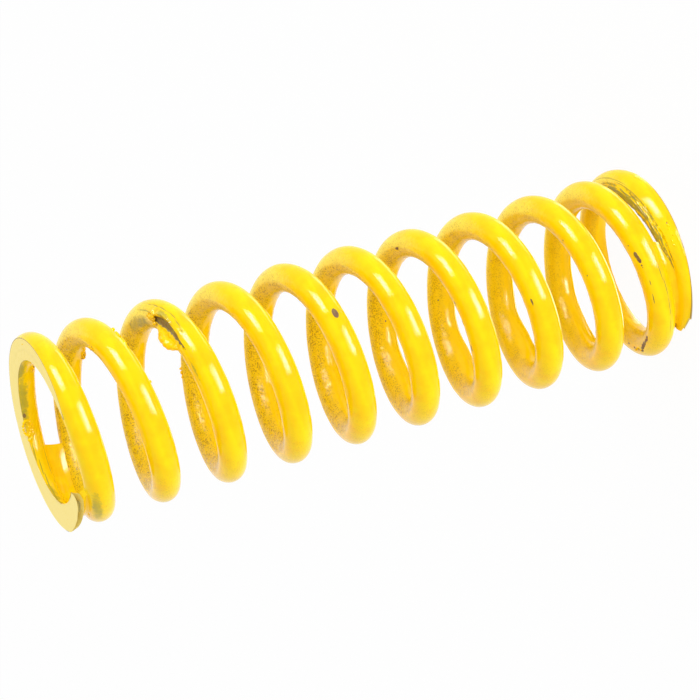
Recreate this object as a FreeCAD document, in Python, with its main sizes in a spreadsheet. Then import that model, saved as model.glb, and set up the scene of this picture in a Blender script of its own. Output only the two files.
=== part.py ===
import FreeCAD, Part
import math
import os

# A clutch spring: one length of round steel wire wound into a right-hand compression coil.
# The turns lie close together at both ends, open out over part of a turn, and run at one
# even pitch between. Both ends are ground flat, square to the axis, so that the wire thins
# towards each tip and the spring stands on a crescent-shaped face.
# The frame: +Z is the coil's axis, the base's ground face lies at zero height, and the
# wire's base tip lies on +X.

SIZES = [
    ("wire_diameter", 4.0),
    ("mean_coil_diameter", 23.4),
    ("free_length", 93.0),
    ("total_turns", 11.05),
    ("base_closed_turns", 0.70),
    ("base_opening_turns", 0.95),
    ("top_closed_turns", 0.72),
    ("top_opening_turns", 0.60),
    ("closed_turn_gap", 0.08),
    ("base_tip_thickness", 0.85),
    ("top_tip_thickness", 0.75),
    ("grinding_clearance", 5.0),
]


def make_sizes(doc):
    """Put the driving dimensions into a sheet, one row each, and return the sheet."""
    sheet = doc.addObject("Spreadsheet::Sheet", "sizes")
    for row, (alias, value) in enumerate(SIZES, start=1):
        sheet.set(f"A{row}", alias)
        sheet.set(f"B{row}", str(value))
        sheet.setAlias(f"B{row}", alias)
    doc.recompute()
    return sheet


def coil_runs(sheet):
    """Give the wire's runs from base to top, as (angle, climb at its start, climb at its end).

    An angle is in radians, and a climb is a height gained for each radian.
    """
    turn = 2.0 * math.pi
    closed_pitch = sheet.wire_diameter + sheet.closed_turn_gap
    base_grinding = sheet.wire_diameter / 2.0 - sheet.base_tip_thickness
    top_grinding = sheet.wire_diameter / 2.0 - sheet.top_tip_thickness
    rise = sheet.free_length + base_grinding + top_grinding

    # An opening run climbs at the mean of the two pitches, so half of it counts as closed.
    closed_share = sheet.base_closed_turns + sheet.top_closed_turns
    opening_share = (sheet.base_opening_turns + sheet.top_opening_turns) / 2.0
    closed_rise = closed_pitch * (closed_share + opening_share)
    active_pitch = (rise - closed_rise) / (sheet.total_turns - closed_share - opening_share)

    even_turns = sheet.total_turns - closed_share - 2.0 * opening_share
    closed_climb = closed_pitch / turn
    active_climb = active_pitch / turn
    return [
        (sheet.base_closed_turns * turn, closed_climb, closed_climb),
        (sheet.base_opening_turns * turn, closed_climb, active_climb),
        (even_turns * turn, active_climb, active_climb),
        (sheet.top_opening_turns * turn, active_climb, closed_climb),
        (sheet.top_closed_turns * turn, closed_climb, closed_climb),
    ]


def make_centre_line(doc, sheet):
    """Draw the wire's centre line on the coil's mean cylinder, unrolled as angle and height.

    A run of even pitch is a straight line there, and a run that opens or closes is a parabola,
    so that one run's slope carries on into the next.
    """
    mean_cylinder = Part.Cylinder()
    mean_cylinder.Radius = sheet.mean_coil_diameter / 2.0
    start = FreeCAD.Base.Vector2d(0.0, sheet.base_tip_thickness - sheet.wire_diameter / 2.0)
    edges = []
    for angle, first_climb, last_climb in coil_runs(sheet):
        rise = angle * (first_climb + last_climb) / 2.0
        end = FreeCAD.Base.Vector2d(start.x + angle, start.y + rise)
        if first_climb == last_climb:
            run = Part.Geom2d.Line2dSegment(start, end)
        else:
            bend = FreeCAD.Base.Vector2d(start.x + angle / 2.0, start.y + first_climb * angle / 2.0)
            run = Part.Geom2d.BezierCurve2d()
            run.setPoles([start, bend, end])
        edges.append(run.toShape(mean_cylinder))
        start = end
    centre_line = doc.addObject("Part::Feature", "wire_centre_line")
    centre_line.Shape = Part.Wire(edges)
    return centre_line


def make_wire_section(doc):
    """Set the wire's round section at the base tip, square to the wire."""
    section = doc.addObject("Part::Circle", "wire_section")
    section.setExpression("Radius", "sizes.wire_diameter / 2")
    section.Placement = FreeCAD.Placement(
        FreeCAD.Vector(), FreeCAD.Rotation(FreeCAD.Vector(1, 0, 0), 90)
    )
    section.setExpression("Placement.Base.x", "sizes.mean_coil_diameter / 2")
    section.setExpression("Placement.Base.z", "sizes.base_tip_thickness - sizes.wire_diameter / 2")
    section.setExpression(
        "Placement.Rotation.Angle",
        "90 deg + atan((sizes.wire_diameter + sizes.closed_turn_gap)"
        " / (pi * sizes.mean_coil_diameter))",
    )
    return section


def make_coiled_wire(doc, centre_line, section):
    """Sweep the section along the centre line: the spring as it comes off the coiling machine."""
    runs = [f"Edge{number}" for number in range(1, len(centre_line.Shape.Edges) + 1)]
    coil = doc.addObject("Part::Sweep", "coiled_wire")
    coil.Sections = [section]
    coil.Spine = (centre_line, runs)
    coil.Solid = True
    coil.Frenet = True
    return coil


def make_ground_spring(doc, coil):
    """Keep what lies between the two grinding wheels, which is the finished spring."""
    between_wheels = doc.addObject("Part::Cylinder", "between_wheels")
    between_wheels.setExpression(
        "Radius", "(sizes.mean_coil_diameter + sizes.wire_diameter) / 2 + sizes.grinding_clearance"
    )
    between_wheels.setExpression("Height", "sizes.free_length")
    spring = doc.addObject("Part::Common", "clutch_spring")
    spring.Label = "clutch_spring"
    spring.Base = coil
    spring.Tool = between_wheels
    return spring


def check_document(doc):
    """Stop if a feature failed, because a recompute doesn't raise an error by itself."""
    for item in doc.Objects:
        if "Invalid" in item.State or "Error" in item.State:
            raise RuntimeError(f"{item.Name} didn't recompute: {item.State}")


def export_part(part):
    """Write one finished piece to parts/, under its label."""
    shape = part.Shape
    if shape.isNull() or not shape.isValid() or len(shape.Solids) != 1:
        raise RuntimeError(f"{part.Label} isn't one valid solid")
    shape.exportStep(f"parts/{part.Label}.step")
    box = shape.BoundBox
    print(f"{part.Label}: volume {shape.Volume:.2f} mm3, faces {len(shape.Faces)},")
    print(f"  X {box.XMin:.3f} to {box.XMax:.3f}, Y {box.YMin:.3f} to {box.YMax:.3f},")
    print(f"  Z {box.ZMin:.3f} to {box.ZMax:.3f}")


def main():
    os.makedirs("parts", exist_ok=True)
    doc = FreeCAD.newDocument("clutch_spring_model")
    sheet = make_sizes(doc)
    centre_line = make_centre_line(doc, sheet)
    section = make_wire_section(doc)
    coil = make_coiled_wire(doc, centre_line, section)
    spring = make_ground_spring(doc, coil)
    doc.recompute()
    check_document(doc)
    export_part(spring)


main()
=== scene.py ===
"""A yellow enamelled clutch spring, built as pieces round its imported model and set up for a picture."""

import math

import bmesh
import bpy
import numpy as np
from mathutils import Matrix, Vector, noise


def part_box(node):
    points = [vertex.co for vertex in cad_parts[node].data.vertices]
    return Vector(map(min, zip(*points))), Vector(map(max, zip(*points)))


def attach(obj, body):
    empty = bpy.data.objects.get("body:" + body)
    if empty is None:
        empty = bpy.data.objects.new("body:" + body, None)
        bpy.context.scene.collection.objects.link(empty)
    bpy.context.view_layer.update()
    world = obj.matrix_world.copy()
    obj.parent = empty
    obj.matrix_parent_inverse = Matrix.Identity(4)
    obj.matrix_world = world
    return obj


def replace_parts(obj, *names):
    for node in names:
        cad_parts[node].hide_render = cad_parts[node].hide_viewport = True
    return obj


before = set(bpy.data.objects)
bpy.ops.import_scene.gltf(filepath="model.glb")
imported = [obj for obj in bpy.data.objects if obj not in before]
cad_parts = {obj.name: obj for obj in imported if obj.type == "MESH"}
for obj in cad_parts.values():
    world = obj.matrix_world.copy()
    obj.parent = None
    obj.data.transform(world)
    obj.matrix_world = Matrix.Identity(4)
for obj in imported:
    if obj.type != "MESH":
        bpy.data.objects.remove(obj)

bl_info = {
    "name": "Clutch spring",
    "version": (1, 0, 0),
    "blender": (4, 5, 0),
    "location": "View3D > Sidebar > Spring",
    "description": "Builds an enamelled compression spring with closed and ground ends",
    "category": "Object",
}

WIRE_NODE = "clutch_spring"
BODY = "root"
MM = 0.001
BASE_CORNER, TOP_CORNER = (Vector(corner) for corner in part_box(WIRE_NODE))

# The seam of the wire's map runs down the inner underside, away from nearly all marks.
SEAM_DEGREES = -130.0
PLACE_MAP = "along_and_around"
# The turn that the map gives to the wire's two cut ends, which have a look of their own.
CUT_END_TURN = -1.0

# The gash on the third turn from the top: turn, middle and half width in degrees round the wire.
GASH_TURNS = (8.234, 8.244, 8.255, 8.268, 8.282, 8.298, 8.317, 8.330, 8.342)
GASH_MIDDLE = (58.0, 61.0, 65.0, 66.0, 66.0, 66.0, 71.0, 75.0, 77.0)
GASH_HALF_WIDTH = (1.0, 5.0, 8.0, 12.0, 15.0, 18.0, 21.0, 17.0, 10.0)
# The gash ends this many half widths from its middle, and fades out over the last one.
GASH_REACH = 1.4
# Between these turns the wire's mesh is finer, for the gash and its scratches.
FINE_TURNS = (8.18, 8.42)
FINER = 4

# Rows in the table of the wire's shape, 2000 to a turn.
TABLE_ROWS = 22101

# How far the wire's two ends reach: distance from the axis in millimetres, and turns cut off there.
TOP_END_RADII = (9.4, 10.2, 11.1, 12.1, 12.9, 13.2, 13.9)
TOP_END_CUTS = (0.059, 0.050, 0.041, 0.044, 0.064, 0.099, 0.150)
BASE_END_RADII = (9.4, 12.2, 12.9, 13.4, 13.9)
BASE_END_CUTS = (0.004, 0.001, 0.002, 0.005, 0.040)
# Turns from each tip over which those cuts are spread.
END_CUT_RUN = 0.19

# The sag of paint low on the back of these turns: its thickness in millimetres on each, and its middle
# and half width in degrees round the wire.
SAG_TURNS = (0.9, 1.8, 2.8, 3.8, 4.8, 5.8, 6.9)
SAG_HEIGHTS = (0.0, 0.40, 0.95, 0.90, 0.60, 0.30, 0.0)
SAG_MIDDLE = 218.0
SAG_HALF_WIDTH = 34.0

# A web of paint sinks this far into the wires, and hollows by this share of its span.
WEB_SINK = 0.04
WEB_HOLLOW = 0.16
WEB_SPAN_POINTS = 9
WEB_WIRE_POINTS = 6

# The floor, in metres, and the camera's sensor, in millimetres.
FLOOR_HALF_WIDTH = 3.0
FLOOR_DROP = 0.02 * MM
SENSOR_WIDTH = 36.0


class SpringSizes(bpy.types.PropertyGroup):
    """Sizes of the painted wire, near those in the part's own sheet."""

    wire_diameter: bpy.props.FloatProperty(
        name="Wire diameter", default=4.0 * MM, unit="LENGTH",
        description="Thickness of the round wire under its paint",
    )
    mean_coil_diameter: bpy.props.FloatProperty(
        name="Mean coil diameter", default=23.4 * MM, unit="LENGTH",
        description="Diameter of the coil measured at the middle of the wire",
    )
    free_length: bpy.props.FloatProperty(
        name="Free length", default=TOP_CORNER.z - BASE_CORNER.z, unit="LENGTH",
        description="Height of the unloaded spring between its two ground faces",
    )
    total_turns: bpy.props.FloatProperty(
        name="Total turns", description="Turns of wire from tip to tip", default=11.05
    )
    base_closed_turns: bpy.props.FloatProperty(
        name="Closed turns at the base", default=0.67,
        description="Turns that lie near each other at the base",
    )
    base_opening_turns: bpy.props.FloatProperty(
        name="Opening turns at the base", default=1.16,
        description="Turns over which the pitch opens above the base",
    )
    top_closed_turns: bpy.props.FloatProperty(
        name="Closed turns at the top", default=0.72,
        description="Turns that lie against each other at the top",
    )
    top_opening_turns: bpy.props.FloatProperty(
        name="Opening turns at the top", default=0.60,
        description="Turns over which the pitch closes below the top",
    )
    base_turn_gap: bpy.props.FloatProperty(
        name="Gap at the base", default=0.28 * MM, unit="LENGTH",
        description="Clearance between the two closed turns at the base, which paint fills",
    )
    top_turn_gap: bpy.props.FloatProperty(
        name="Gap at the top", default=0.08 * MM, unit="LENGTH",
        description="Clearance between the two closed turns at the top",
    )
    base_lean: bpy.props.FloatProperty(
        name="Lean at the base", default=0.90 * MM, unit="LENGTH",
        description="How far out of square the last open turns at the base stand",
    )
    base_lean_way: bpy.props.FloatProperty(
        name="Base lean direction", default=math.radians(114), subtype="ANGLE",
        description="Side on which the leaning turns at the base are highest",
    )
    top_lean: bpy.props.FloatProperty(
        name="Lean at the top", default=0.407 * MM, unit="LENGTH",
        description="How far out of square the last open turns at the top stand",
    )
    top_lean_way: bpy.props.FloatProperty(
        name="Top lean direction", default=math.radians(78.7), subtype="ANGLE",
        description="Side on which the leaning turns at the top are highest",
    )
    base_spread: bpy.props.FloatProperty(
        name="Spread at the base", default=0.60 * MM, unit="LENGTH",
        description="How much wider the last turn at the base is wound",
    )
    top_spread: bpy.props.FloatProperty(
        name="Spread at the top", default=0.256 * MM, unit="LENGTH",
        description="How much wider the last turn at the top is wound",
    )
    base_tip_thickness: bpy.props.FloatProperty(
        name="Base tip thickness", default=0.85 * MM, unit="LENGTH",
        description="Wire left at the base tip after grinding",
    )
    top_tip_thickness: bpy.props.FloatProperty(
        name="Top tip thickness", default=0.75 * MM, unit="LENGTH",
        description="Wire left at the top tip after grinding",
    )
    rings_per_turn: bpy.props.IntProperty(
        name="Rings per turn", description="Mesh rings along one turn of wire", default=118, min=24
    )
    ring_points: bpy.props.IntProperty(
        name="Points round the wire", default=64, min=16,
        description="Mesh points round the wire, a multiple of eight",
    )


class SpringColours(bpy.types.PropertyGroup):
    """Colours of the enamel, of what shows where it is thin or missing, and of painted shade and sheen.
    """

    enamel: bpy.props.FloatVectorProperty(
        name="Enamel", subtype="COLOR", default=(1.0, 0.69, 0.0025),
        description="Thick glossy paint on the outside of the coils",
    )
    warm_enamel: bpy.props.FloatVectorProperty(
        name="Warm enamel", subtype="COLOR", default=(1.0, 0.62, 0.0025),
        description="The same paint where it ran thicker",
    )
    dry_spray: bpy.props.FloatVectorProperty(
        name="Dry spray", subtype="COLOR", default=(0.88, 0.62, 0.008),
        description="Thin gritty paint on the inside of the coils",
    )
    grit: bpy.props.FloatVectorProperty(
        name="Grit", subtype="COLOR", default=(0.34, 0.17, 0.010),
        description="Dark specks in the gritty paint",
    )
    # Also the colour of the painted shadow and of the painted shade lines.
    thin_paint_and_shade: bpy.props.FloatVectorProperty(
        name="Thin paint", subtype="COLOR", default=(0.36, 0.33, 0.042),
        description="Steel that shows through rubbed paint",
    )
    # A painted sheen: the paler tone stands for light falling on the turns' tops.
    dust_and_sheen_paint: bpy.props.FloatVectorProperty(
        name="Dusted paint", subtype="COLOR", default=(1.0, 0.88, 0.12),
        description="Paler paint on the turns' dusty tops",
    )
    bare_steel: bpy.props.FloatVectorProperty(
        name="Bare steel", subtype="COLOR", default=(0.21, 0.105, 0.05),
        description="Dark steel in the gash and the chips",
    )
    # Its pale cream is the faces' yellow paint plus a painted reflection of the white room.
    face_paint_and_sheen: bpy.props.FloatVectorProperty(
        name="Ground face", subtype="COLOR", default=(1.0, 0.81, 0.25),
        description="Pale mist of paint on the ground ends",
    )


class SpringStage(bpy.types.PropertyGroup):
    """Camera and lamps."""

    lens: bpy.props.FloatProperty(
        name="Lens", description="Focal length for a sensor 36 mm wide", default=146.72, unit="CAMERA"
    )
    camera_distance: bpy.props.FloatProperty(
        name="Camera distance", default=401.09 * MM, unit="LENGTH",
        description="From the middle of the spring to the camera",
    )
    camera_azimuth: bpy.props.FloatProperty(
        name="Camera azimuth", default=math.radians(58.273), subtype="ANGLE",
        description="Direction of the camera round the spring's axis, from +X",
    )
    camera_elevation: bpy.props.FloatProperty(
        name="Camera elevation", default=math.radians(20.268), subtype="ANGLE",
        description="Height of the camera above the floor",
    )
    camera_roll: bpy.props.FloatProperty(
        name="Camera roll", default=math.radians(-106.065), subtype="ANGLE",
        description="Turn of the camera about its own line of sight",
    )
    aim_right: bpy.props.FloatProperty(
        name="Aim right", default=-0.674 * MM, unit="LENGTH",
        description="Sideways shift of the camera and its aim",
    )
    aim_up: bpy.props.FloatProperty(
        name="Aim up", default=-0.863 * MM, unit="LENGTH",
        description="Upward shift of the camera and its aim",
    )
    ambient: bpy.props.FloatProperty(
        name="Ambient level", description="Strength of the even light from all round", default=0.88
    )
    left_lamp: bpy.props.FloatProperty(
        name="Left lamp level", default=0.22,
        description="Share of plain light from the lamp at the upper left",
    )
    right_lamp: bpy.props.FloatProperty(
        name="Right lamp level", default=0.6,
        description="Share of plain light from the lamp at the right",
    )
    highlight_core: bpy.props.FloatProperty(
        name="Highlight core", default=27.0,
        description="Brightness of the middle of each softbox where the gloss mirrors it",
    )
    highlight_rim: bpy.props.FloatProperty(
        name="Highlight rim", default=11.0,
        description="Brightness of the whole of each softbox where the gloss mirrors it",
    )
    back_highlight: bpy.props.FloatProperty(
        name="Back highlight", default=2.0,
        description="Brightness of the softbox behind the spring where the gloss mirrors it",
    )


def in_mm(metres):
    return metres / MM


def sizes():
    return bpy.context.scene.spring_sizes


def wire_radius():
    return in_mm(sizes().wire_diameter) / 2


def coil_radius():
    return in_mm(sizes().mean_coil_diameter) / 2


def colours():
    return bpy.context.scene.spring_colours


def stage_sizes():
    return bpy.context.scene.spring_stage


# Shape of the wire, in millimetres.


def smooth_step(values, low, high):
    """0 below low, 1 above high and a smooth rise between."""
    share = np.clip((values - low) / (high - low), 0, 1)
    return share * share * (3 - 2 * share)


def wire_table():
    """Turn, height, rise per turn and distance from the axis all along the middle of the wire."""
    size = sizes()
    turns = np.linspace(0, size.total_turns, TABLE_ROWS)
    from_top = size.total_turns - turns
    wire = in_mm(size.wire_diameter)
    base_pitch = wire + in_mm(size.base_turn_gap)
    top_pitch = wire + in_mm(size.top_turn_gap)
    opening = np.clip((turns - size.base_closed_turns) / size.base_opening_turns, 0, 1)
    closing = np.clip((from_top - size.top_closed_turns) / size.top_opening_turns, 0, 1)
    ground_off = wire - in_mm(size.base_tip_thickness) - in_mm(size.top_tip_thickness)
    rise = in_mm(size.free_length) + ground_off
    base_turns = size.base_closed_turns + size.base_opening_turns / 2
    top_turns = size.top_closed_turns + size.top_opening_turns / 2
    open_turns = size.total_turns - base_turns - top_turns
    open_pitch = (rise - base_pitch * base_turns - top_pitch * top_turns) / open_turns
    pitch = (1 - opening) * base_pitch + (1 - closing) * top_pitch + (opening + closing - 1) * open_pitch
    climbed = np.concatenate([[0], np.cumsum((pitch[1:] + pitch[:-1]) / 2 * np.diff(turns))])
    height = in_mm(size.base_tip_thickness) - wire / 2 + climbed
    radius = np.full_like(turns, coil_radius())
    # The last numbers are the turns from the tip where the lean is full, begins to fade and is gone.
    ends = (
        (turns, size.base_lean, size.base_lean_way, size.base_spread, (0.45, 1.2, 1.9)),
        (from_top, size.top_lean, size.top_lean_way, size.top_spread, (0.6, 1.4, 2.4)),
    )
    for distance, lean, way, spread, (full, last, gone) in ends:
        fading = (1 - smooth_step(distance, last, gone)) * smooth_step(distance, 0.0, full)
        height += fading * in_mm(lean) * np.cos(math.tau * turns - way)
        radius += in_mm(spread) * (1 - smooth_step(distance, 0.0, 1.0))
    return turns, height, np.gradient(height, turns), radius


def wire_frame(turns):
    """Middle of the wire, its outward and its upward direction, at each of these turns."""
    turns = np.asarray(turns, float)
    table = wire_table()
    height, rise, radius = (np.interp(turns, table[0], column) for column in table[1:])
    way = math.tau * turns
    outward = np.stack([np.cos(way), np.sin(way), 0 * way], -1)
    middle = outward * radius[..., None]
    middle[..., 2] = height
    slope = rise / (math.tau * radius)
    upward = np.stack([np.sin(way) * slope, -np.cos(way) * slope, 1 + 0 * way], -1)
    upward /= np.linalg.norm(upward, axis=-1, keepdims=True)
    return middle, outward, upward


def on_wire(turn, degrees, lift=0.0):
    """A point above the wire's surface and the direction away from the wire there."""
    middle, outward, upward = wire_frame(turn)
    around = math.radians(degrees)
    away = outward * math.cos(around) + upward * math.sin(around)
    return Vector(middle + away * (wire_radius() + lift)), Vector(away)


def lumps(points, size, seed):
    """Smooth noise between -1 and 1 at each point, with lumps of this size."""
    scaled = np.asarray(points) / size + seed
    return np.array([noise.noise(Vector(point)) for point in scaled.tolist()])


def ring_turns():
    """Turns at which the wire's mesh has a ring, closer together at the gash."""
    size = sizes()
    step = 1.0 / size.rings_per_turn
    low, high = FINE_TURNS
    runs = ((0.0, low, step), (low, high, step / FINER), (high, size.total_turns, step))
    rings = [
        np.linspace(start, end, round((end - start) / gap), endpoint=False) for start, end, gap in runs
    ]
    return np.append(np.concatenate(rings), size.total_turns)


def ring_angles(turns):
    """Degrees round the wire of each ring's points, with a group of points on the ground flat."""
    size = sizes()
    count = size.ring_points
    even = SEAM_DEGREES + 360.0 * np.arange(count) / count
    middle, _, upward = wire_frame(turns)
    lean = upward[:, 2] * wire_radius()
    at_base = turns < size.total_turns / 2
    below = middle[:, 2] / lean
    above = (in_mm(size.free_length) - middle[:, 2]) / lean
    clearance = np.where(at_base, below, above)
    flat_half = np.degrees(np.arccos(np.clip(clearance, -1, 1)))
    group_half = 45.0
    run_up = group_half * smooth_step(clearance, 1.0, 1.6)
    half = np.maximum(np.maximum(flat_half, run_up), 3.0)[:, None]
    centre = np.where(at_base, -90.0, 90.0)[:, None]
    offset = (even[None, :] - centre + 180.0) % 360.0 - 180.0
    inside = offset / group_half * half
    beyond = (np.abs(offset) - group_half) * (180.0 - half) / (180.0 - group_half)
    outside = np.sign(offset) * (half + beyond)
    warped = np.where(np.abs(offset) <= group_half, inside, outside) + centre
    # Keep every angle within one turn from the seam.
    return SEAM_DEGREES + (warped - SEAM_DEGREES + 1e-6) % 360.0 - 1e-6


def gash_fields(turns, degrees):
    """How deep in the gash, on its lip and in its side scratches each point is, from 0 to 1."""
    middle = np.interp(turns, GASH_TURNS, GASH_MIDDLE)
    half = np.interp(turns, GASH_TURNS, GASH_HALF_WIDTH)
    inside = (turns > GASH_TURNS[0]) & (turns < GASH_TURNS[-1])
    across = (degrees - middle) / half
    cut = np.where(inside, np.clip(GASH_REACH - np.abs(across), 0, 1), 0)
    # The lip stands along the gash's outward side and round its end.
    along = smooth_step(turns, 8.285, 8.310) * (1 - smooth_step(turns, 8.338, 8.346))
    lip = np.exp(-(((degrees - middle + half + 6.0) / 6.0) ** 2)) * along
    end_lip = np.exp(-(((turns - 8.346) / 0.004) ** 2)) * np.exp(-(((degrees - 68.0) / 24.0) ** 2))
    # One scratch runs beside the gash and one on from its end, and a shallow tail leads up to its start.
    line_turns = (8.24, 8.272, 8.298, 8.324, 8.357, 8.40)
    line = np.interp(turns, line_turns, (36.0, 25.0, 17.0, 20.0, 29.0, 40.0))
    side = np.exp(-(((degrees - line) / 3.5) ** 2))
    side *= smooth_step(turns, 8.25, 8.27) * (1 - smooth_step(turns, 8.36, 8.40))
    low_line = np.exp(-(((degrees - 61.0) / 4.0) ** 2))
    low_line *= smooth_step(turns, 8.344, 8.350) * (1 - smooth_step(turns, 8.39, 8.41))
    tail = np.exp(-(((degrees - np.interp(turns, (8.17, 8.235), (62.0, 50.0))) / 9.0) ** 2))
    tail *= 0.42 * smooth_step(turns, 8.165, 8.20) * (1 - smooth_step(turns, 8.235, 8.248))
    scratch = np.maximum(np.maximum(side * 0.9, low_line * 0.8), tail)
    return cut, np.maximum(lip, end_lip), scratch


def trimmed(turns, degrees):
    """The turn of each point once the two ends of the wire are cut to their rounded outlines."""
    size = sizes()
    reach = coil_radius() + wire_radius() * np.cos(np.radians(degrees))
    base_cut = np.interp(reach + in_mm(size.base_spread), BASE_END_RADII, BASE_END_CUTS)
    top_cut = np.interp(reach + in_mm(size.top_spread), TOP_END_RADII, TOP_END_CUTS)
    base_share = np.clip(1 - turns / END_CUT_RUN, 0, 1)
    top_share = np.clip(1 - (size.total_turns - turns) / END_CUT_RUN, 0, 1)
    return turns + base_share * base_cut - top_share * top_cut


def wire_surface():
    """Points of the painted wire ring by ring, with each one's turn, degrees and share of scratch."""
    turns = ring_turns()
    degrees = ring_angles(turns)
    turn_grid = trimmed(np.repeat(turns[:, None], degrees.shape[1], axis=1), degrees)
    middle, outward, upward = wire_frame(turn_grid)
    around = np.radians(degrees)
    away = outward * np.cos(around)[..., None] + upward * np.sin(around)[..., None]
    points = middle + away * wire_radius()
    flat = points.reshape(-1, 3)
    # Heights of the slow waves in the paint and, on the inward side, of its grit.
    waves = 0.020 * lumps(flat, 2.6, 11.0) + 0.008 * lumps(flat, 1.1, 5.0)
    grit = 0.045 * lumps(flat, 0.42, 3.0) + 0.03 * lumps(flat, 0.23, 8.0)
    waves, grit = waves.reshape(degrees.shape), grit.reshape(degrees.shape)
    inward = 1 - smooth_step(np.cos(around), -0.25, 0.25)
    cut, lip, scratch = gash_fields(turn_grid, degrees)
    lift = waves + grit * inward
    # Paint of the torn web still stands on the last turn at the base.
    torn = smooth_step(turn_grid, 0.12, 0.19) * (1 - smooth_step(turn_grid, 0.29, 0.40))
    lift += torn * np.exp(-(((degrees - 101.0) / 28.0) ** 2)) * (0.70 + 1.2 * grit)
    sunk = smooth_step(cut, 0.25, 0.8) * (0.42 + 0.3 * grit)
    lift += lip * (0.30 + 2.2 * grit) - sunk - scratch * 0.10
    # Paint ran down while the spring hung and set in a smooth sag low on the back of the middle turns.
    phase = turn_grid % 1
    from_sag = (degrees - SAG_MIDDLE + 180.0) % 360.0 - 180.0
    sag = smooth_step(phase, 0.67, 0.76) * (1 - smooth_step(phase, 0.79, 0.89))
    sag *= np.interp(turn_grid, SAG_TURNS, SAG_HEIGHTS) * np.exp(-((from_sag / SAG_HALF_WIDTH) ** 2))
    lift = lift * (1 - np.clip(sag, 0, 0.7)) + sag
    points = points + away * lift[..., None]
    points[..., 2] = np.clip(points[..., 2], 0.0, in_mm(sizes().free_length))
    return points, turn_grid, degrees, scratch


def in_scene(name, data):
    """A new object in the scene for this mesh, lamp or camera."""
    made = bpy.data.objects.new(name, data)
    bpy.context.scene.collection.objects.link(made)
    return made


def strip_faces(rings, count):
    """Four-sided faces between rings of this many points."""
    numbers = np.arange(rings * count).reshape(rings, count)
    first, second = numbers[:-1], numbers[1:]
    quads = np.stack([first, np.roll(first, -1, 1), np.roll(second, -1, 1), second], -1)
    return quads.reshape(-1, 4).tolist()


def new_piece(name, points, faces, material, smooth_below=math.radians(22)):
    """A mesh object from points in millimetres, with its material and smooth faces."""
    mesh = bpy.data.meshes.new(name)
    mesh.from_pydata((np.asarray(points) * MM).tolist(), [], faces)
    mesh.validate()
    mesh.materials.append(material)
    mesh.shade_smooth()
    mesh.set_sharp_from_angle(angle=smooth_below)
    return in_scene(name, mesh)


# Materials.


class Socket:
    """A node's output in an expression: arithmetic on it adds Math nodes."""

    def __init__(self, finish, output):
        self.finish = finish
        self.output = output

    def _math(self, operation, *values):
        return self.finish.node("Math", {"operation": operation}, dict(enumerate(values)))

    def __add__(self, other):
        return self._math("ADD", self, other)

    __radd__ = __add__

    def __sub__(self, other):
        return self._math("SUBTRACT", self, other)

    def __rsub__(self, other):
        return self._math("SUBTRACT", other, self)

    def __mul__(self, other):
        return self._math("MULTIPLY", self, other)

    __rmul__ = __mul__

    def __truediv__(self, other):
        return self._math("DIVIDE", self, other)

    def __rtruediv__(self, other):
        return self._math("DIVIDE", other, self)

    def __pow__(self, other):
        return self._math("POWER", self, other)

    def __rpow__(self, other):
        return self._math("POWER", other, self)

    def most(self, other):
        return self._math("MAXIMUM", self, other)

    def step(self, low, high):
        """0 below low, 1 above high and a smooth rise between."""
        settings = {"interpolation_type": "SMOOTHSTEP"}
        if low > high:
            return 1 - self.step(high, low)
        return self.finish.node("MapRange", settings, {0: self, 1: low, 2: high})


class Finish:
    """The nodes of a material or of the world, under construction."""

    def __init__(self, owner, shader="Principled BSDF"):
        self.material = owner
        self.tree = owner.node_tree
        self.shader = self.tree.nodes[shader]
        self.place = self.node("TexCoord", {}, {}, "Object")

    def feed(self, socket, value):
        """Links an output to the socket, or sets its number or colour."""
        if isinstance(value, Socket):
            self.tree.links.new(value.output, socket)
        else:
            socket.default_value = value

    def node(self, kind, settings, values, output=0):
        """Adds a node, sets it up, then feeds its sockets, and gives one of its outputs."""
        made = self.tree.nodes.new("ShaderNode" + kind)
        for name, value in settings.items():
            setattr(made, name, value)
        for name, value in values.items():
            self.feed(made.inputs[name], value)
        return Socket(self, made.outputs[output])

    def mix(self, share, first, second):
        """The first colour where share is 0 and the second where it is 1."""
        first, second = (c if isinstance(c, Socket) else (*c, 1.0) for c in (first, second))
        return self.node("Mix", {"data_type": "RGBA"}, {0: share, 6: first, 7: second}, 2)

    def grain(self, size, detail=2.0, shift=0.0):
        """Noise from 0 to 1 with grains of this size in millimetres."""
        moved = self.node("VectorMath", {"operation": "ADD"}, {0: self.place, 1: (shift, shift, shift)})
        return self.node("TexNoise", {}, {"Vector": moved, "Scale": 1 / (size * MM), "Detail": detail})

    def along_wire(self, place, length, width, detail):
        """Noise from 0 to 1 drawn out along the wire, with streaks of this size in millimetres."""
        stretch = (math.tau * coil_radius() / length, math.tau * wire_radius() / width, 0.0)
        drawn = self.node("VectorMath", {"operation": "MULTIPLY"}, {0: place, 1: stretch})
        return self.node("TexNoise", {}, {"Vector": drawn, "Scale": 1.0, "Detail": detail})

    def dots(self, size):
        """Distance to the middle of the nearest grain of grit, in grain sizes."""
        return self.node("TexVoronoi", {}, {"Vector": self.place, "Scale": 1 / (size * MM)})

    def bump(self, height, depth):
        """A bump of this depth in millimetres for the shader's normal."""
        return self.node("Bump", {}, {"Height": height, "Distance": depth * MM, "Strength": 1.0})

    def seen_directly(self):
        """1 for what the camera sees straight, mirrored or through glass, 0 for light on a surface."""
        seen = self.node("LightPath", {}, {}, "Is Camera Ray")
        for way in ("Is Glossy Ray", "Is Transmission Ray"):
            seen = seen.most(self.node("LightPath", {}, {}, way))
        return seen

    def fill(self, **values):
        """Numbers, colours or outputs for the shader's sockets, named with _ for a space."""
        for name, value in values.items():
            self.feed(self.shader.inputs[name.replace("_", " ")], value)
        return self.material


def painted(name):
    """A new material, ready for its nodes."""
    material = bpy.data.materials.new(name)
    material.use_nodes = True
    return Finish(material)


# Constant index of the enamel's gloss: low enough to keep the colour deep against a white room.
ENAMEL_IOR = 1.22

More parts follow.
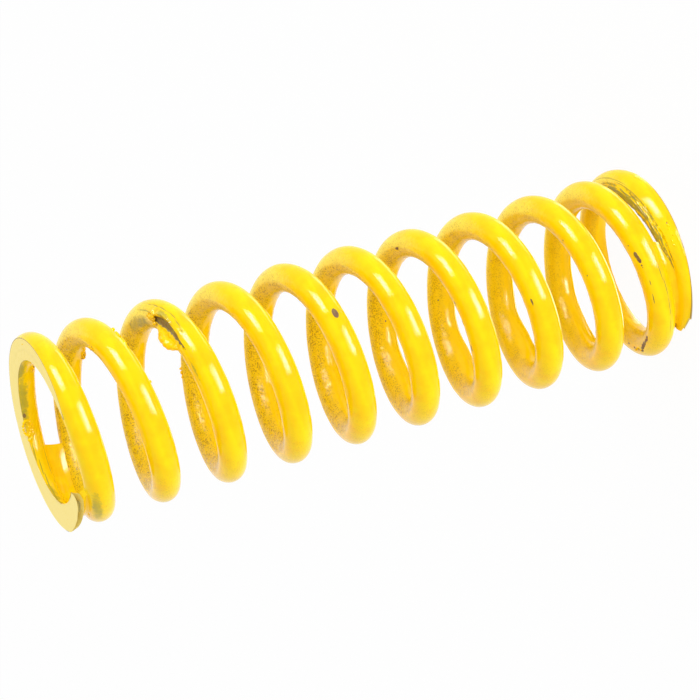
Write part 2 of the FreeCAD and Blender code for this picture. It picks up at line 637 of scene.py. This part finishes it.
# Marks on the paint: turn, degrees round the wire, length and width in millimetres, and how ragged.
CHIPS = (
    (6.218, -1, 1.55, 0.92, 0.22),
    (1.179, 61, 1, 0.66, 0.22),
    (1.172, 57.5, 1, 0.62, 0.22),
    (1.167, 54.5, 0.8, 0.56, 0.22),
    (1.158, 54.5, 0.3, 0.26, 0.2),
    (1.154, 53.5, 0.14, 0.16, 0.2),
    (0.97, 88, 2.6, 0.6, 0.95),
    (0.946, 84, 2.2, 0.66, 0.9),
    (0.93, 76, 1.4, 0.56, 0.8),
    (0.92, 66, 1, 0.4, 0.9),
    (0.905, 74, 0.7, 0.42, 0.6),
    (0.888, 83, 0.6, 0.42, 0.6),
    (0.862, 92, 0.5, 0.3, 0.5),
    (3.149, 51, 1.1, 0.3, 0.6),
    (4.396, 99, 1, 0.45, 0.6),
    (3.62, 144, 0.3, 0.26, 0.2),
    (4.188, 96, 0.5, 0.4, 0.3),
    (4.094, 90, 1.2, 0.3, 0.7),
    (4.63, 176, 0.3, 0.26, 0.2),
    (1.125, 44, 0.8, 0.12, 0.2),
    (1.094, 48, 1.7, 0.13, 0.3),
    (0.107, 105, 0.46, 0.4, 0.2),
    (0.212, 29, 0.26, 0.2, 0.3),
    (1.2, 73, 0.24, 0.22, 0.2),
    (2.248, 86, 0.3, 0.24, 0.2),
    (2.167, 62, 0.22, 0.2, 0.2),
    (10.612, 165, 0.8, 0.5, 0.3),
)
# Places where the paint is worn thin, and one painted shadow.
RUBBED_AND_SHADED = (
    (8.408, 112, 9, 2.7, 0.4),
    (8.318, 42, 6.5, 1, 0.5),
    (8.2, 66, 4, 0.5, 0.5),
    (10.48, 154, 6, 1.6, 0.55),
    (10.565, 168, 10, 1.7, 0.6),
    (10.85, 190, 9, 2, 0.5),
    (11.02, 105, 5, 3, 0.5),
    # A painted shadow of the top tip on the turn below it.
    (9.995, 33, 10, 1.8, 0.4),
)
# Thin dark lines: turn, degrees, length, width and raggedness.
LINES = (
    (10.7, 175, 3.4, 0.26, 0.12),
    (10.735, 186, 3.4, 0.26, 0.12),
    (10.775, 192, 4.2, 0.26, 0.12),
    (10.825, 195, 4.6, 0.3, 0.12),
    # Painted shade in the crease where the top web meets the ring's inner wall.
    (10.72, 225, 5, 0.2, 0.12),
    (10.775, 228, 5, 0.2, 0.12),
    (10.83, 229, 5, 0.2, 0.12),
    # Painted shade along the edge of the second turn, beside the web at the base.
    (1.136, -10, 3.8, 0.22, 0.12),
    (1.108, -15.5, 3.8, 0.22, 0.12),
    (1.072, -14, 4.2, 0.22, 0.12),
    (1.03, -12.5, 4.2, 0.2, 0.12),
    (0.4, 52, 9, 0.14, 0.12),
    (0.355, 56, 9, 0.16, 0.12),
    (0.31, 63, 9, 0.18, 0.12),
    (0.265, 66, 8, 0.18, 0.12),
)
# Long torn scuffs, where the coils rub on each other.
SCUFFS = (
    (0.335, 98, 15, 2.5, 0.25),
    (0.27, 97, 15, 2.6, 0.25),
    (0.2, 83, 8, 1.3, 0.4),
    (0.16, 76, 6, 0.7, 0.45),
)


def painted_wire_finish():
    """Glossy enamel outside, gritty dry spray inside, worn and chipped places, painted shade and sheen,
    and the ground ends.
    """
    shade = colours()
    finish = painted("yellow_enamel_wire")
    place = finish.node("UVMap", {"uv_map": PLACE_MAP}, {})
    turn = finish.node("SeparateXYZ", {}, {0: place}, "X")
    around = finish.node("SeparateXYZ", {}, {0: place}, "Y")
    outward = finish.node("Math", {"operation": "COSINE"}, {0: around * math.tau})
    sideways = finish.node("Math", {"operation": "SINE"}, {0: around * math.tau})

    def near_phase(phase):
        """1 at this share of every turn and -1 half a turn away."""
        return finish.node("Math", {"operation": "COSINE"}, {0: (turn - phase) * math.tau})

    ragged = finish.grain(0.45, 3.0) - 0.5
    coarse = finish.grain(2.4, 3.0, 0.05) - 0.5
    wire, coil = wire_radius(), coil_radius()

    def patch(spot, blur, rough):
        """1 inside an oval mark with a ragged rim and 0 outside it."""
        at_turn, degrees, length, width, raggedness = spot
        reach = math.tau * (coil + wire * math.cos(math.radians(degrees)))
        along = (turn - at_turn) * (2 * reach / length)
        across = (around - degrees / 360.0) * (2 * math.tau * wire / width)
        away = (along * along + across * across) ** 0.5 + rough * (2 * raggedness)
        return away.step(1.0, 1.0 - blur)

    def marks(spots, blur, rough):
        """1 inside any of these marks."""
        found = patch(spots[0], blur, rough)
        for spot in spots[1:]:
            found = found.most(patch(spot, blur, rough))
        return found

    chipped = marks(CHIPS, 0.15, ragged)
    rubbed_and_shaded = marks(RUBBED_AND_SHADED, 0.6, coarse + ragged)
    scuffed = marks(SCUFFS, 0.3, coarse + ragged)
    lined = marks(LINES, 0.5, ragged)
    streaks = finish.along_wire(place, 2.6, 0.34, 3.0)

    def beside_gash(levels):
        """A value that passes through the given levels at the turns of the gash."""
        value = levels[0]
        for begin, end, low, high in zip(GASH_TURNS, GASH_TURNS[1:], levels, levels[1:]):
            value = value + turn.step(begin, end) * (high - low)
        return value

    across = (around * 360 - beside_gash(GASH_MIDDLE)) / beside_gash(GASH_HALF_WIDTH)
    start, end = GASH_TURNS[0], GASH_TURNS[-1]
    edge = 0.0005
    cut = GASH_REACH - (across * across) ** 0.5
    cut = cut * turn.step(start - edge, start + edge) * (1 - turn.step(end - edge, end + edge))
    scratch = finish.node("Attribute", {"attribute_name": "gash_scratch"}, {}, "Fac")
    face = finish.node("Attribute", {"attribute_name": "ground_flat"}, {}, "Fac")
    cut_end = turn.step(-0.4, -0.6)
    flat = face.step(0.50, 0.60) * (1 - cut_end)
    rim = face.step(0.01, 0.12) * (1 - face.step(0.70, 0.95)) * (1 - cut_end)

    # The spray came from outside, so the inward side is dry and gritty, and the turns' tops carry dust.
    inward = (outward + near_phase(0.16) * 0.16 + ragged * 0.35).step(0.10, -0.22)
    lower = (sideways + ragged * 0.4).step(0.45, 0.05) * inward
    heavy = (turn.step(1.0, 6.0) * 0.65 + 0.35) * (1 - turn.step(10.2, 10.5) * 0.6)
    grains = finish.grain(0.20, 2.0, 0.01)
    clouds = finish.grain(1.5, 2.0, 0.03)
    fine_specks = (grains + (clouds - 0.5) * 0.35).step(0.52, 0.64)
    speckled = finish.dots(0.42).step(0.30, 0.14) * finish.grain(1.1, 2.0, 0.02).step(0.44, 0.60) * 0.65
    # The tops' paler tone is a painted sheen where the light falls on them; their specks are dust.
    dust_and_sheen = (sideways * 0.7 + near_phase(0.47) + ragged * 0.5).step(1.05, 1.6) * (1 - inward)
    under = near_phase(0.92).step(0.6, 1.0) * (1 - inward)
    grit = speckled.most(fine_specks * 0.70) * (inward - lower * 0.85) * heavy
    grit = grit.most(fine_specks * (dust_and_sheen * 0.35 + under * 0.22))
    dust = finish.grain(0.30, 3.0, 0.04).step(0.62, 0.72) * 0.35

    tone = finish.mix(coarse.step(-0.12, 0.18), shade.enamel, shade.warm_enamel)
    tone = finish.mix(inward * 0.9, tone, shade.dry_spray)
    tone = finish.mix(lower, tone, shade.enamel)
    # Painted sheen: the turns' tops are paler where the light falls.
    tone = finish.mix(dust_and_sheen * 0.7, tone, shade.dust_and_sheen_paint)
    tone = finish.mix(grit, tone, shade.grit)
    # Olive where the paint is worn thin, and the painted shadow of the top tip.
    tone = finish.mix(rubbed_and_shaded * (clouds * 0.9 + 0.20), tone, shade.thin_paint_and_shade)
    tone = finish.mix(scratch.step(0.25, 0.75) * 0.8, tone, shade.thin_paint_and_shade)
    # Islands of enamel stand in the scuffs, more of them toward the outside.
    island = (streaks + (0.235 - around) * 2.2).step(0.52, 0.58)
    dark = (streaks - 0.5).step(-0.02, -0.14) * 0.55
    scuff_tone = finish.mix(dark, shade.thin_paint_and_shade, shade.bare_steel)
    scuff_tone = finish.mix(island, scuff_tone, shade.enamel)
    tone = finish.mix(scuffed * 0.9, tone, scuff_tone)
    # Thin dark lines, some of them painted shade in the creases by the webs.
    tone = finish.mix(lined * 0.75, tone, shade.thin_paint_and_shade)
    steel = (cut + ragged * 0.6).step(0.50, 0.62)
    bare = steel.most(chipped)
    worn = finish.grain(0.5, 3.0, 0.06).step(0.40, 0.75) * 0.45 + steel * 0.22
    worn_steel = finish.mix(worn, shade.bare_steel, shade.thin_paint_and_shade)
    tone = finish.mix(bare, tone, worn_steel)
    # The ground faces take pale paint that carries a painted reflection, flecked with dry spray.
    tone = finish.mix(flat, tone, finish.mix(dust, shade.face_paint_and_sheen, shade.dry_spray))

    gritty = (inward - lower * 0.85) * (heavy * 0.6 + 0.4) * (1 - turn.step(10.50, 10.60))
    end_tone = finish.mix(clouds * 0.35 + 0.05, shade.face_paint_and_sheen, shade.thin_paint_and_shade)
    tone = finish.mix(cut_end, tone, end_tone)
    tone = finish.mix(rim * (outward.step(-0.5, 0.5) * 0.5 + 0.25), tone, shade.bare_steel)

    dull = (gritty * 0.8).most(bare).most(flat).most(rubbed_and_shaded * 0.6).most(dust_and_sheen * 0.5)
    relief = finish.grain(0.50, 4.0) * gritty * 0.8 + finish.grain(0.12) * flat * 0.12
    relief = relief - bare * 0.5 + finish.grain(0.35, 3.0, 0.07) * bare * 0.8 + rubbed_and_shaded * ragged * 0.3
    relief = relief + scuffed * (streaks + ragged * 0.5) * 1.6
    return finish.fill(
        Base_Color=tone,
        Roughness=dull * 0.16 + flat * 0.25 + bare * 0.25 + 0.06,
        Normal=finish.bump(relief, 0.16),
        IOR=ENAMEL_IOR,
    )


def enamel_finish(name):
    """Plain glossy enamel for the run, webs, flakes and blister of paint."""
    shade = colours()
    finish = painted(name)
    tone = finish.mix(finish.grain(1.6).step(0.35, 0.65), shade.enamel, shade.warm_enamel)
    return finish.fill(Base_Color=tone, Roughness=0.05, IOR=ENAMEL_IOR)


def crumb_finish():
    """Rough paint on crumbs, with brown patches in its ragged grain."""
    shade = colours()
    finish = painted("yellow_enamel_crumbs")
    ragged = finish.grain(0.35, 3.0)
    tone = finish.mix(ragged.step(0.52, 0.68), shade.warm_enamel, shade.grit)
    return finish.fill(Base_Color=tone, Roughness=0.25, IOR=ENAMEL_IOR, Normal=finish.bump(ragged, 0.1))


# Pieces.


class SPRING_OT_coil_wire(bpy.types.Operator):
    """Coils, grinds and paints the wire"""

    bl_idname = "spring.coil_wire"
    bl_label = "Coil the painted wire"

    def execute(self, context):
        points, turns, degrees, scratch = wire_surface()
        rings, count = turns.shape
        faces = strip_faces(rings, count)
        flat = points.reshape(-1, 3)
        # Each cut end is capped by two smaller rings and a middle face.
        cap_faces = []
        added = []
        for ring, order in ((0, -1), (rings - 1, 1)):
            rim = np.arange(count) + ring * count
            outline = flat[rim]
            centre = outline.mean(0)
            for share in (0.7, 0.35):
                inner = np.arange(count) + len(flat) + len(added)
                added.extend(centre + (outline - centre) * share)
                strip = np.stack([rim, np.roll(rim, -1), np.roll(inner, -1), inner], -1)
                cap_faces.extend(strip[:, ::order].tolist())
                rim = inner
            cap_faces.append(rim[::order].tolist())
        extra = np.array(added)
        material = painted_wire_finish()
        piece = new_piece("coiled_wire", np.concatenate([flat, extra]), faces + cap_faces, material)
        mesh = piece.data
        if len(mesh.polygons) != len(faces) + len(cap_faces):
            raise RuntimeError("the wire's mesh lost faces")
        corners = np.empty(len(mesh.loops), np.int32)
        mesh.loops.foreach_get("vertex_index", corners)
        padding = np.zeros(len(extra))
        turn_of = np.concatenate([turns.ravel(), padding])[corners]
        angle_of = np.concatenate([degrees.ravel(), padding])[corners]
        turn_of[4 * len(faces) :] = CUT_END_TURN
        # The last column of faces meets the seam with its angle one full turn on.
        last = (np.arange(len(faces)) % count) == count - 1
        wraps = np.repeat(last, 4) & (angle_of[: 4 * len(faces)] < SEAM_DEGREES + 90)
        angle_of[: 4 * len(faces)][wraps] += 360.0
        places = np.stack([turn_of, angle_of / 360.0], -1).astype(np.float32)
        mesh.uv_layers.new(name=PLACE_MAP).uv.foreach_set("vector", places.ravel())
        length = in_mm(sizes().free_length)
        on_flat = (flat[:, 2] < 1e-4) | (flat[:, 2] > length - 1e-4)
        for name, values in (("gash_scratch", scratch), ("ground_flat", on_flat)):
            layer = mesh.attributes.new(name, "FLOAT", "POINT")
            values = np.concatenate([np.asarray(values, np.float32).ravel(), padding]).astype(np.float32)
            layer.data.foreach_set("value", values)
        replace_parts(joins_spring(piece), WIRE_NODE)
        return {"FINISHED"}


def joins_spring(piece):
    """Rides on the spring's one body."""
    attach(piece, BODY)
    return piece


def web_section(turn, inner, outer, skew):
    """Points in millimetres round a web of paint between one turn and the next.

    inner and outer are degrees on the lower and the upper wire, inside and outside the coil, and skew
    swings the web's two edges apart, in turns.
    """
    below, above = wire_frame(turn + skew), wire_frame(turn + 1.0 - skew)
    radius = wire_radius() - WEB_SINK

    def on(wire, degrees):
        middle, outward, upward = wire
        around = math.radians(degrees)
        return middle + (outward * math.cos(around) + upward * math.sin(around)) * radius

    steps = np.linspace(0, 1, WEB_SPAN_POINTS)
    side = []
    for low, high, way in ((outer[0], outer[1], -1), (inner[0], inner[1], 1)):
        start, end = on(below, low), on(above, high)
        sink = below[1] * way * WEB_HOLLOW * np.linalg.norm(end - start)
        side.append([start + (end - start) * step + sink * (4 * step * (1 - step)) for step in steps])

    def over(wire, start, end):
        return [on(wire, degrees) for degrees in np.linspace(start, end, WEB_WIRE_POINTS)[1:-1]]

    return side[0] + over(above, outer[1], inner[1]) + side[1][::-1] + over(below, inner[0], outer[0])


def paint_web(name, turns, inner, outer, skew):
    """A closed strip of paint that fills the gap between two turns."""
    sections = [web_section(turn, inner, outer, skew) for turn in turns]
    count = len(sections[0])
    points = np.array(sections).reshape(-1, 3)
    faces = strip_faces(len(sections), count)
    faces.append(tuple(reversed(range(count))))
    faces.append(tuple(range((len(sections) - 1) * count, len(sections) * count)))
    piece = new_piece(name, points, faces, enamel_finish(name + "_paint"), math.radians(50))
    facing = bmesh.new()
    facing.from_mesh(piece.data)
    bmesh.ops.recalc_face_normals(facing, faces=facing.faces)
    facing.to_mesh(piece.data)
    facing.free()
    return joins_spring(piece)


def fused_blobs(name, blobs, voxel, material):
    """Round blobs of paint, each a turn, degrees, lift and radius, flowed into one skin."""
    shape = bmesh.new()
    for turn, degrees, lift, radius in blobs:
        place, away = on_wire(turn, degrees, lift)
        where = Matrix.Translation(place) @ Matrix.Scale(radius, 4)
        bmesh.ops.create_icosphere(shape, subdivisions=3, radius=1.0, matrix=where)
    mesh = bpy.data.meshes.new(name)
    shape.to_mesh(mesh)
    shape.free()
    blank = in_scene(name + "_blank", mesh)
    fuse = blank.modifiers.new("fuse", "REMESH")
    fuse.mode = "VOXEL"
    fuse.voxel_size = voxel
    flow = blank.modifiers.new("flow", "SMOOTH")
    flow.factor = 0.5
    flow.iterations = 6
    ready = blank.evaluated_get(bpy.context.evaluated_depsgraph_get())
    points = np.array([vertex.co[:] for vertex in ready.data.vertices])
    faces = [tuple(face.vertices) for face in ready.data.polygons]
    bpy.data.objects.remove(blank)
    bpy.data.meshes.remove(mesh)
    return joins_spring(new_piece(name, points, faces, material, math.radians(60)))


class SPRING_OT_fill_gaps(bpy.types.Operator):
    """Fills the narrow gaps at both ends with webs of paint"""

    bl_idname = "spring.fill_gaps"
    bl_label = "Fill the end gaps with paint"

    def execute(self, context):
        paint_web("paint_web_top", np.linspace(9.688, 10.02, 34), (112.0, -116.0), (70.0, -70.0), 0.006)
        paint_web("paint_web_base", np.linspace(0.012, 0.188, 20), (112.0, -112.0), (80.0, -74.0), 0.0)
        return {"FINISHED"}


# Blobs of the run of paint below the gash: turn, degrees, lift and radius in millimetres.
DRIP_BLOBS = (
    (8.318, 100, -0.05, 0.42),
    (8.3105, 100, 0.05, 0.5),
    (8.308, 105, 0.35, 0.34),
    (8.299, 100, 0.25, 0.72),
    (8.296, 106, 0.7, 0.52),
    (8.29, 101, 0.3, 0.78),
    (8.285, 99, 0.85, 0.55),
    (8.28, 104, 0.75, 0.5),
    (8.276, 100, 0.6, 0.76),
    (8.2715, 96, 1.05, 0.44),
    (8.269, 100, 0.4, 0.76),
    (8.2655, 101, 0.85, 0.42),
    (8.2625, 100, 0.25, 0.68),
    (8.259, 96, 0.45, 0.42),
    (8.256, 99, -0.25, 0.6),
    (8.2525, 93, 0.1, 0.36),
    (8.2495, 96, -0.5, 0.5),
    (8.244, 90, -0.5, 0.42),
)


class SPRING_OT_hang_drip(bpy.types.Operator):
    """Hangs the run of paint below the gash"""

    bl_idname = "spring.hang_drip"
    bl_label = "Hang the run of paint"

    def execute(self, context):
        fused_blobs("paint_drip", DRIP_BLOBS, 0.10, enamel_finish("paint_drip_gloss"))
        return {"FINISHED"}


# Crumbs and flakes of paint: turn, degrees, lift, length, width and height in millimetres.
CRUMBS = (
    (8.341, 76, 0.05, 1.05, 0.75, 0.6),
    (8.334, 94, 0, 0.8, 0.6, 0.5),
    (9.489, 219, 0.1, 1.1, 0.8, 0.65),
    (9.499, 226, 0.05, 0.8, 0.7, 0.6),
    (9.472, 206, 0, 0.9, 0.5, 0.45),
    (9.45, 198, 0, 0.7, 0.45, 0.4),
    (9.312, 98, 0.05, 0.7, 0.6, 0.45),
    (9.322, 102, 0, 0.5, 0.4, 0.35),
    (10.49, 203, 0.05, 0.8, 0.65, 0.5),
    (10.482, 209, 0, 0.55, 0.45, 0.4),
    (7.618, 83, 0.05, 0.45, 0.4, 0.4),
    (7.626, 88, 0.05, 0.5, 0.4, 0.35),
    (7.634, 92, 0.05, 0.45, 0.35, 0.35),
    (8.35, 70, 0.25, 0.8, 0.7, 0.55),
    (8.345, 78, 0.05, 0.7, 0.6, 0.5),
    (8.347, 58, 0.2, 0.6, 0.5, 0.4),
    (8.352, 80, 0.1, 0.6, 0.5, 0.45),
    (0.905, 80, 0, 0.5, 0.36, 0.3),
    (0.893, 74, 0, 0.42, 0.34, 0.3),
    (0.914, 70, 0, 0.36, 0.3, 0.28),
)
FLAKES = (
    (9.312, -44, 0.04, 0.8, 0.5, 0.45),
    (9.297, -47, 0.02, 1.6, 0.45, 0.4),
    (9.278, -49, 0, 2.2, 0.4, 0.36),
    (9.193, -68, 0, 0.4, 0.34, 0.34),
    (10.365, 60, 0.05, 0.2, 0.18, 0.2),
    (9.94, 74, -0.05, 2.4, 0.8, 0.3),
    (0.214, 25, 0, 0.36, 0.28, 0.22),
    (0.208, 31, 0, 0.36, 0.26, 0.22),
    (0.202, 35, 0, 0.3, 0.24, 0.2),
    (0.205, 24, 0, 0.28, 0.24, 0.2),
    (0.182, 44, 0, 0.5, 0.3, 0.22),
    (0.174, 41, 0, 0.4, 0.28, 0.22),
    (0.19, 30, 0, 0.3, 0.24, 0.2),
)


def rough_lumps(name, lumps_of_paint, roughness, material):
    """Ragged little lumps on the wire, each with its turn, degrees, lift, length, width and height."""
    shape = bmesh.new()
    for turn, degrees, lift, length, width, height in lumps_of_paint:
        place, away = on_wire(turn, degrees, lift)
        along = (on_wire(turn + 0.001, degrees)[0] - on_wire(turn - 0.001, degrees)[0]).normalized()
        across = away.cross(along)
        turned = Matrix((along * length / 2, across * width / 2, away * height / 2)).transposed()
        where = Matrix.Translation(place) @ turned.to_4x4()
        made = bmesh.ops.create_icosphere(shape, subdivisions=3, radius=1.0, matrix=where)
        for vertex in made["verts"]:
            vertex.co += (vertex.co - place) * roughness * noise.noise(vertex.co / 0.30)
    shape.verts.index_update()
    points = np.array([vertex.co[:] for vertex in shape.verts])
    faces = [tuple(vertex.index for vertex in face.verts) for face in shape.faces]
    shape.free()
    return joins_spring(new_piece(name, points, faces, material, math.radians(70)))


class SPRING_OT_scatter_crumbs(bpy.types.Operator):
    """Sets crumbs, flakes and a burst blister of paint on the wire"""

    bl_idname = "spring.scatter_crumbs"
    bl_label = "Set the crumbs of paint"

    def execute(self, context):
        rough_lumps("paint_crumbs", CRUMBS, 0.75, crumb_finish())
        rough_lumps("paint_flakes", FLAKES, 0.35, enamel_finish("paint_flakes_gloss"))
        # The burst blister's rim is a spiral of blobs.
        rim = []
        for step in range(20):
            swing = math.radians(27 * step)
            growth = 1.0 - 0.034 * step
            turn = 10.643 + 0.025 * growth * math.cos(swing)
            degrees = 168.0 + 23.0 * growth * math.sin(swing)
            rim.append((turn, degrees, 0.04, 0.27 - 0.006 * step))
        fused_blobs("paint_blister", rim, 0.07, enamel_finish("paint_blister_gloss"))
        return {"FINISHED"}


# Softboxes: name, direction and long axis along the camera's right, up and back, degrees along and
# across, the stage's setting for the level, metres away, and whether only the gloss shows it.
SOFTBOXES = (
    ("left_lamp", (-0.47, 0.81, 0.34), (0.7, 0.7, 0.0), 40, 40, "left_lamp", 0.6, False),
    ("right_lamp", (0.79, 0.22, 0.57), (0.0, 1.0, 0.0), 40, 40, "right_lamp", 0.6, False),
    ("left_core", (-0.539, 0.591, 0.600), (0.82, 0.54, 0.20), 24, 20, "highlight_core", 0.5, True),
    ("left_rim", (-0.539, 0.591, 0.600), (0.82, 0.54, 0.20), 36, 30, "highlight_rim", 0.48, True),
    ("right_core", (0.690, 0.290, 0.664), (0.64, 0.30, -0.71), 24, 24, "highlight_core", 0.5, True),
    ("right_rim", (0.648, 0.285, 0.706), (0.64, 0.30, -0.71), 46, 33, "highlight_rim", 0.48, True),
    ("back_glow", (0.579, 0.415, -0.702), (0.0, 1.0, 0.0), 60, 35, "back_highlight", 0.5, True),
)


class SPRING_OT_set_stage(bpy.types.Operator):
    """Sets up the floor, the lamps, the world and the camera"""

    bl_idname = "spring.set_stage"
    bl_label = "Set the stage"

    def execute(self, context):
        stage = stage_sizes()
        middle = (BASE_CORNER + TOP_CORNER) / 2
        turn, rise, roll = stage.camera_azimuth, stage.camera_elevation, stage.camera_roll
        back = Vector((math.cos(rise) * math.cos(turn), math.cos(rise) * math.sin(turn), math.sin(rise)))
        level = Vector((-math.sin(turn), math.cos(turn), 0))
        upright = back.cross(level)
        right = level * math.cos(roll) + upright * math.sin(roll)
        up = upright * math.cos(roll) - level * math.sin(roll)
        aim = middle + right * stage.aim_right + up * stage.aim_up

        def facing(place, *axes):
            matrix = Matrix(axes).transposed().to_4x4()
            matrix.translation = place
            return matrix

        lens = bpy.data.cameras.new("camera")
        lens.lens = stage.lens
        lens.sensor_width = SENSOR_WIDTH
        lens.clip_start = 0.01
        camera = in_scene("camera", lens)
        camera.matrix_world = facing(aim + back * stage.camera_distance, right, up, back)
        context.scene.camera = camera

        for name, direction, long_way, length, width, setting, reach, mirrored in SOFTBOXES:
            away = (right * direction[0] + up * direction[1] + back * direction[2]).normalized()
            long_axis = right * long_way[0] + up * long_way[1] + back * long_way[2]
            long_axis = (long_axis - away * long_axis.dot(away)).normalized()
            lamp = bpy.data.lights.new(name, "AREA")
            lamp.shape = "RECTANGLE"
            lamp.size = 2 * reach * math.tan(math.radians(length / 2))
            lamp.size_y = 2 * reach * math.tan(math.radians(width / 2))
            area = lamp.size * lamp.size_y
            lamp.energy = 4 * getattr(stage, setting) * (area if mirrored else math.pi * reach**2)
            box = in_scene(name, lamp)
            box.matrix_world = facing(middle + away * reach, long_axis, away.cross(long_axis), away)
            box.visible_diffuse = not mirrored
            box.visible_glossy = mirrored
            box.visible_camera = False

        world = bpy.data.worlds.new("studio")
        world.use_nodes = True
        sky = Finish(world, "Background")
        strength = sky.node("MapRange", {}, {0: sky.seen_directly(), 3: stage.ambient, 4: 1.0})
        sky.fill(Color=(1, 1, 1, 1), Strength=strength)
        context.scene.world = world

        mesh = bpy.data.meshes.new("floor")
        half = FLOOR_HALF_WIDTH
        corners = [(-half, -half, 0), (half, -half, 0), (half, half, 0), (-half, half, 0)]
        mesh.from_pydata(corners, [], [(0, 1, 2, 3)])
        floor = in_scene("floor", mesh)
        floor.location.z = -FLOOR_DROP
        floor.visible_shadow = False
        floor.visible_glossy = False
        finish = painted("white_floor")
        path = finish.seen_directly()
        glow = finish.node("Emission", {}, {"Color": (1, 1, 1, 1), "Strength": 1.0})
        finish.fill(Base_Color=(0.9, 0.9, 0.9, 1), Roughness=0.9, Specular_IOR_Level=0.0)
        base = Socket(finish, finish.shader.outputs[0])
        both = finish.node("MixShader", {}, {0: path * 0.95, 1: base, 2: glow})
        surface = finish.tree.nodes["Material Output"].inputs["Surface"]
        finish.feed(surface, both)
        mesh.materials.append(finish.material)
        context.scene.view_settings.view_transform = "Standard"
        return {"FINISHED"}


class SPRING_PT_sidebar(bpy.types.Panel):
    """Lists the sizes, the colours and the steps of the build"""

    bl_idname = "SPRING_PT_sidebar"
    bl_label = "Clutch spring"
    bl_space_type = "VIEW_3D"
    bl_region_type = "UI"
    bl_category = "Spring"

    def draw(self, context):
        for group in (sizes(), colours(), stage_sizes()):
            for name in group.__annotations__:
                self.layout.prop(group, name)
        for operator in STEPS:
            self.layout.operator(operator.bl_idname)


GROUPS = {"spring_sizes": SpringSizes, "spring_colours": SpringColours, "spring_stage": SpringStage}
STEPS = (
    SPRING_OT_coil_wire,
    SPRING_OT_fill_gaps,
    SPRING_OT_hang_drip,
    SPRING_OT_scatter_crumbs,
    SPRING_OT_set_stage,
)
CLASSES = (*GROUPS.values(), *STEPS, SPRING_PT_sidebar)


def register():
    for added in CLASSES:
        bpy.utils.register_class(added)
    for name, group in GROUPS.items():
        setattr(bpy.types.Scene, name, bpy.props.PointerProperty(type=group))


def unregister():
    for name in GROUPS:
        delattr(bpy.types.Scene, name)
    for added in reversed(CLASSES):
        bpy.utils.unregister_class(added)


def main():
    """Builds every piece."""
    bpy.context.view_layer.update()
    register()
    for operator in STEPS:
        group, name = operator.bl_idname.split(".")
        getattr(getattr(bpy.ops, group), name)()


if __name__ == "__main__":
    main()
